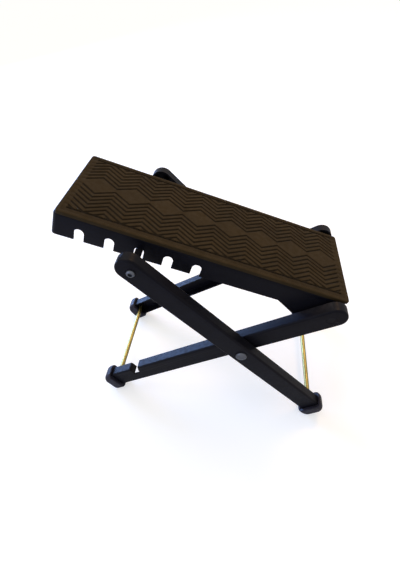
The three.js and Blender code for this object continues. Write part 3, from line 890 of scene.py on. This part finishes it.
def foot(context, pair, name):
    """A rubber cap over the foot of a leg, with a rounded mouth, a domed end and a flat worn by the floor."""
    settings = context.scene.footrest
    sizes = settings.small
    node = f"{pair}_foot_{name}"
    rod_node = f"{pair}_foot_rod"
    frame = PAIRS[pair]
    side = SIDES[name]
    low, high = extent(f"{pair}_foot_front", frame)
    leg_low, leg_high = extent(f"{pair}_leg_front", frame)
    leg_edge = leg_low.y + settings.leg.depth
    middle = (low.y + high.y) / 2
    half_width = (high.y - low.y) / 2
    half_height = sizes.foot_height / 2
    room_width = settings.leg.depth / 2 + sizes.foot_gap
    room_height = settings.leg.height / 2 + sizes.foot_gap
    mouth = place_along(rod_node, frame) + sizes.foot_from_rod
    rim = sizes.foot_rim
    inner = pair == "inner"
    reach = sizes.inner_foot_length if inner else sizes.outer_foot_length
    heel = sizes.inner_heel if inner else sizes.outer_heel
    rings = []

    def ring(x, width, heights, corner, across=middle):
        """A ring round the foot, whose heights are those above and below the leg's middle line."""
        # The frame's Z axis points down on the inner legs and up on the outer ones
        top, bottom = heights[::-1] if inner else heights
        corner = min(corner, width, (top + bottom) / 2)
        points = []
        for start, sign_y, height in ((0, 1, top), (90, -1, top), (180, -1, -bottom), (270, 1, -bottom)):
            middle_z = height - math.copysign(corner, height)
            swing = arc(sign_y * (width - corner), middle_z, corner, start, start + 90, CORNER_STEPS)
            points += [Vector((x, across + y, z)) for y, z in swing]
        rings.append(mirrored(points, side))

    def pocket(x, out=0):
        """A ring round the room for the leg, or one that is wider by so much."""
        heights = (room_height + out, room_height + out)
        ring(x, room_width + out, heights, sizes.pocket_corner + out, (leg_low.y + leg_edge) / 2)

    pocket(leg_high.x + sizes.foot_gap)
    pocket(mouth + rim)
    rounding = min(rim, (half_width - room_width) / 2)
    for back, out in quarter(1, RIM_STEPS)[1:]:
        pocket(mouth + rim * back, rounding * out)
    for inset, back in quarter(1, RIM_STEPS):
        height = half_height - rounding * inset
        corner = sizes.foot_corner - rounding * inset
        ring(mouth + rim * back, half_width - rounding * inset, (height, height), corner)

    def drawn_in(distance, radius):
        along = max(0, distance - (reach - radius))
        return radius - math.sqrt(max(0, radius**2 - along**2))

    for i in range(1, DOME_STEPS + 1):
        distance = rim + (reach - rim) * math.sin(math.pi / 2 * i / DOME_STEPS)
        width = half_width - drawn_in(distance, sizes.foot_side)
        heights = [half_height - drawn_in(distance, radius) for radius in (sizes.foot_toe, heel)]
        ring(mouth + distance, width, heights, sizes.foot_corner)
    piece = new_piece(f"moulded_{node}", *loft(rings), finish_of(context, moulded_foot_rubber), frame)
    # The foot rod passes through the foot's inner wall
    hole = radius_of(rod_node, frame) + sizes.clearance
    beyond = side * (high.y + hole)
    combine(piece, "DIFFERENCE", bore(hole, side * leg_edge, beyond, at_centre(rod_node, frame)))
    # What would lie below the floor is worn away
    into = frame.inverted()
    for vertex in piece.data.vertices:
        at = frame @ vertex.co
        if at.z < 0:
            vertex.co = into @ Vector((at.x, at.y, 0))
    soften(piece, sharp=50)
    place(piece, f"{pair}_legs", node)


def feet(context):
    """The four rubber feet."""
    for name in SIDES:
        for pair in PAIRS:
            foot(context, pair, name)


# Turned pieces


def rod(context, node, pair, maker, radius, tenon=None, cover=0):
    """A rod across the footrest, with or without a thinner end in each leg's web."""
    settings = context.scene.footrest
    bevel = settings.small.bevel
    web = -web_of(pair)
    shoulder = web - settings.leg.sheet
    end = web - cover if tenon else shoulder
    outline = [(0, -end)]
    if tenon:
        outline += [(tenon - bevel, -end), (tenon, bevel - end), (tenon, -shoulder)]
    outline += [(radius - bevel, -shoulder), (radius, bevel - shoulder)]
    outline += [(r, -y) for r, y in reversed(outline)]
    piece = turned(f"turned_{node}", outline, finish_of(context, maker), at_centre(node, PAIRS[pair]))
    soften(piece)
    place(piece, f"{pair}_legs", node)


def rods(context):
    """The height rod, the hinge rod and both foot rods."""
    settings = context.scene.footrest
    rod(context, "height_rod", "outer", stoved_enamel, settings.small.height_rod / 2)
    for node, pair, maker, cover in (
        ("hinge_rod", "inner", stoved_enamel, 0),
        ("inner_foot_rod", "inner", yellow_zinc, settings.leg.cover),
        ("outer_foot_rod", "outer", yellow_zinc, settings.leg.cover),
    ):
        frame = PAIRS[pair]
        rod(context, node, pair, maker, radius_of(node, frame), radius_at_end(node, frame), cover)


def domed(radius, height, rim, seat):
    """The outline of a domed head that stands out from its seat, towards -Y."""
    turns = [math.pi / 2 * i / HEAD_STEPS for i in range(HEAD_STEPS + 1)]
    dome = [(radius * math.sin(turn), seat - rim - (height - rim) * math.cos(turn)) for turn in turns]
    return [*dome, (radius, seat)]


def height_screws(context):
    """The button-head screws that hold the height rod between the outer legs."""
    small = context.scene.footrest.small
    high = extent("height_rod_screw_front", OUTER)[1]
    web = web_of("outer")
    shank = small.screw / 2
    outline = domed(small.screw_head / 2, small.screw_rise, small.head_rim, web)
    outline += [(shank, web), (shank, high.y - small.bevel), (shank - small.bevel, high.y), (0, high.y)]
    frame = at_centre("height_rod", OUTER)
    corner = small.socket / 2 / math.cos(math.pi / 6)
    turns = [math.tau * i / 6 for i in range(6)]
    hexagon = [(corner * math.cos(turn), corner * math.sin(turn)) for turn in turns]
    for name, side in SIDES.items():
        points = [(r, side * y) for r, y in outline]
        piece = turned(f"turned_height_rod_screw_{name}", points, finish_of(context, white_zinc), frame)
        mouth = side * (web - 2 * small.screw_rise)
        floor_y = side * (web - small.screw_rise + small.socket_depth)
        combine(piece, "DIFFERENCE", new_piece("socket", *prism(hexagon, mouth, floor_y), None, frame))
        soften(piece, small.bevel / 2)
        place(piece, "outer_legs", f"height_rod_screw_{name}")


def tube(context, node, maker, ends, hole, side):
    """A plain tube on the inner legs, with bevelled ends."""
    bevel = context.scene.footrest.small.bevel
    radius = radius_of(node, INNER)
    start, end = ends
    corners = [(hole, start), (radius - bevel, start), (radius, start + bevel)]
    corners += [(radius, end - bevel), (radius - bevel, end), (hole, end), (hole, start)]
    # A tube closes on itself, so the two end faces of the loft are left out
    verts, faces = loft([circle(r, side * y) for r, y in corners])
    piece = new_piece(f"turned_{node}", verts, faces[:-2], finish_of(context, maker), at_centre(node, INNER))
    soften(piece)
    place(piece, "inner_legs", node)


def pivots(context):
    """The centre pivots: domed rivets, with a spacer in each outer leg and a washer in each inner one."""
    settings = context.scene.footrest
    small = settings.small
    sheet = settings.leg.sheet
    high = extent("pivot_rivet_front", INNER)[1]
    outer_web = web_of("outer")
    inner_web = web_of("inner")
    washer_low, washer_high = extent("pivot_washer_front", INNER)
    shank = small.rivet / 2
    tail = small.rivet_tail / 2
    start = inner_web + sheet + small.clearance
    washer_end = start + washer_high.y - washer_low.y
    outline = domed(small.rivet_head / 2, small.rivet_rise, small.head_rim, outer_web)
    outline += [(shank, outer_web), (shank, washer_end), (tail, washer_end), (tail, high.y - small.bevel)]
    outline += [(tail - 3 * small.bevel, high.y), (0, high.y)]
    hole = shank + small.clearance
    spacer_ends = (outer_web + sheet + small.clearance, inner_web - small.clearance)
    washer_ends = (start, washer_end - small.clearance)
    for name, side in SIDES.items():
        points = [(r, side * y) for r, y in outline]
        piece = turned(f"headed_pivot_rivet_{name}", points, finish_of(context, white_zinc), INNER)
        soften(piece)
        place(piece, "inner_legs", f"pivot_rivet_{name}")
        tube(context, f"pivot_spacer_{name}", moulded_nylon, spacer_ends, hole, side)
        tube(context, f"pivot_washer_{name}", white_zinc, washer_ends, hole, side)


def hinge_spacers(context):
    """The spacers that keep the tread in the middle of the hinge rod."""
    settings = context.scene.footrest
    clearance = settings.small.clearance
    skirt = extent("tread_pan", TREAD)[0].y
    ends = (web_of("inner") + settings.leg.sheet + clearance, skirt - 2 * clearance)
    hole = radius_of("hinge_rod", INNER) + clearance
    for name, side in SIDES.items():
        tube(context, f"hinge_spacer_{name}", moulded_nylon, ends, hole, side)


# Stage

# Half a side of the floor, in metres
FLOOR_HALF = 12.0
# How strongly each lights the object, shows to the camera, and shows in metal and glass
FLOOR_STRENGTHS = (0, 0.55, 0.2)
WORLD_STRENGTHS = (0.5, 1, 1)
# The even light from above: where it comes from, and how wide it is in degrees
CEILING_FROM = (-0.35, 0.3, 1)
CEILING_SPREAD = 50
# Each lamp's name, place and size in metres, power in watts and colour
AREA_LIGHTS = (
    ("window", (-1.3, 0.9, 0.3), 0.8, 48, "#90b8ff"),
    ("front", (-0.6, -0.7, 0.35), 0.5, 1.9, "#b8ccff"),
    ("lamp", (0.35, 0.6, 1.0), 0.25, 4, "#ffc884"),
)
# The camera's place in metres, its turns in degrees and its lens in millimetres
CAMERA_PLACE = (0.03439, -0.2583, 0.38537)
CAMERA_YAW = 10.31
CAMERA_PITCH = 45.32
CAMERA_ROLL = -4.49
CAMERA_LENS = 22.52


def seen(tree, lit, shown, in_metal):
    """A strength for what lights the object, one for the camera, and one that metal and glass show."""
    camera = add(tree, "ShaderNodeLightPath", "Is Camera Ray", {})
    glossy = add(tree, "ShaderNodeLightPath", "Is Glossy Ray", {})
    clear = add(tree, "ShaderNodeLightPath", "Is Transmission Ray", {})
    mirror = add(tree, "ShaderNodeMath", "Value", {0: glossy, 1: clear}, operation="MAXIMUM")
    inputs = {0: camera, 1: shown - lit, 2: lit}
    direct = add(tree, "ShaderNodeMath", "Value", inputs, operation="MULTIPLY_ADD")
    inputs = {0: mirror, 1: in_metal - lit, 2: direct}
    return add(tree, "ShaderNodeMath", "Value", inputs, operation="MULTIPLY_ADD")


def floor(context):
    """The white floor, which keeps the footrest's shadow."""
    half = FLOOR_HALF
    corners = [(-half, -half, 0), (half, -half, 0), (half, half, 0), (-half, half, 0)]
    finish = context.scene.footrest.finish
    material, tree, sockets = surface("matt white paper", finish.floor, 1, specular=0)
    sockets["Emission Color"].default_value = (1, 1, 1, 1)
    tree.links.new(seen(tree, *FLOOR_STRENGTHS), sockets["Emission Strength"])
    piece = new_piece("floor", corners, [(0, 1, 2, 3)], material)


def light(name, kind, place_at, power, code):
    """A lamp that faces the footrest from its place."""
    lamp = bpy.data.lights.new(name, kind)
    lamp.energy = power
    lamp.color = linear(code)
    holder = bpy.data.objects.new(name, lamp)
    holder.location = place_at
    holder.rotation_euler = Vector(place_at).to_track_quat("Z", "Y").to_euler()
    bpy.context.scene.collection.objects.link(holder)
    return lamp


def stage(context):
    """The floor, the light and the camera."""
    floor(context)
    scene = context.scene
    scene.view_settings.view_transform = "Standard"
    world = bpy.data.worlds.new("white room")
    world.use_nodes = True
    tree = world.node_tree
    back = tree.nodes["Background"]
    back.inputs["Color"].default_value = (1, 1, 1, 1)
    tree.links.new(seen(tree, *WORLD_STRENGTHS), back.inputs["Strength"])
    scene.world = world
    light("ceiling", "SUN", CEILING_FROM, 1.0, "#fff0dc").angle = math.radians(CEILING_SPREAD)
    for name, place_at, size, power, code in AREA_LIGHTS:
        light(name, "AREA", place_at, power, code).size = size
    lens = bpy.data.cameras.new("camera")
    lens.lens = CAMERA_LENS
    camera = bpy.data.objects.new("camera", lens)
    yaw, pitch, roll = (math.radians(angle) for angle in (CAMERA_YAW, CAMERA_PITCH, CAMERA_ROLL))
    ahead = Vector((-math.sin(yaw) * math.cos(pitch), math.cos(yaw) * math.cos(pitch), -math.sin(pitch)))
    level = Vector((math.cos(yaw), math.sin(yaw), 0))
    down = ahead.cross(level)
    right = math.cos(roll) * level - math.sin(roll) * down
    up = -(math.sin(roll) * level + math.cos(roll) * down)
    axes = Matrix((right, up, -ahead)).transposed().to_4x4()
    camera.matrix_world = Matrix.Translation(CAMERA_PLACE) @ axes
    scene.collection.objects.link(camera)
    scene.camera = camera


# Operators


class FOOTREST_OT_tread_pan(Operator):
    """Add the pressed steel pan of the tread"""

    bl_idname = "footrest.tread_pan"
    bl_label = "Tread Pan"

    def execute(self, context):
        tread_pan(context)
        return {"FINISHED"}


class FOOTREST_OT_tread_mat(Operator):
    """Add the ribbed rubber mat on the tread"""

    bl_idname = "footrest.tread_mat"
    bl_label = "Tread Mat"

    def execute(self, context):
        tread_mat(context)
        return {"FINISHED"}


class FOOTREST_OT_legs(Operator):
    """Add the four pressed steel legs"""

    bl_idname = "footrest.legs"
    bl_label = "Legs"

    def execute(self, context):
        legs(context)
        return {"FINISHED"}


class FOOTREST_OT_feet(Operator):
    """Add the four rubber feet"""

    bl_idname = "footrest.feet"
    bl_label = "Feet"

    def execute(self, context):
        feet(context)
        return {"FINISHED"}


class FOOTREST_OT_rods(Operator):
    """Add the height rod, the hinge rod and the foot rods"""

    bl_idname = "footrest.rods"
    bl_label = "Rods"

    def execute(self, context):
        rods(context)
        return {"FINISHED"}


class FOOTREST_OT_height_screws(Operator):
    """Add the screws that hold the height rod"""

    bl_idname = "footrest.height_screws"
    bl_label = "Height Rod Screws"

    def execute(self, context):
        height_screws(context)
        return {"FINISHED"}


class FOOTREST_OT_pivots(Operator):
    """Add the rivets, spacers and washers of the centre pivots"""

    bl_idname = "footrest.pivots"
    bl_label = "Centre Pivots"

    def execute(self, context):
        pivots(context)
        return {"FINISHED"}


class FOOTREST_OT_hinge_spacers(Operator):
    """Add the spacers on the hinge rod"""

    bl_idname = "footrest.hinge_spacers"
    bl_label = "Hinge Spacers"

    def execute(self, context):
        hinge_spacers(context)
        return {"FINISHED"}


class FOOTREST_OT_stage(Operator):
    """Add the floor, the light and the camera"""

    bl_idname = "footrest.stage"
    bl_label = "Stage"

    def execute(self, context):
        stage(context)
        return {"FINISHED"}


OPERATORS = (
    FOOTREST_OT_stage,
    FOOTREST_OT_tread_pan,
    FOOTREST_OT_tread_mat,
    FOOTREST_OT_legs,
    FOOTREST_OT_feet,
    FOOTREST_OT_rods,
    FOOTREST_OT_height_screws,
    FOOTREST_OT_pivots,
    FOOTREST_OT_hinge_spacers,
)


class FOOTREST_PT_sidebar(Panel):
    """Lists the footrest's pieces"""

    bl_label = "Guitar Footrest"
    bl_space_type = "VIEW_3D"
    bl_region_type = "UI"
    bl_category = "Footrest"

    def draw(self, context):
        for kind in OPERATORS:
            self.layout.operator(kind.bl_idname)


CLASSES = (
    TreadSizes,
    MatSizes,
    LegSizes,
    SmallSizes,
    Finishes,
    FootrestSettings,
    *OPERATORS,
    FOOTREST_PT_sidebar,
)


def register():
    for kind in CLASSES:
        bpy.utils.register_class(kind)
    bpy.types.Scene.footrest = PointerProperty(type=FootrestSettings)


def unregister():
    del bpy.types.Scene.footrest
    for kind in reversed(CLASSES):
        bpy.utils.unregister_class(kind)


def main():
    register()
    for kind in OPERATORS:
        group, name = kind.bl_idname.split(".")
        getattr(getattr(bpy.ops, group), name)()


if __name__ == "__main__":
    main()
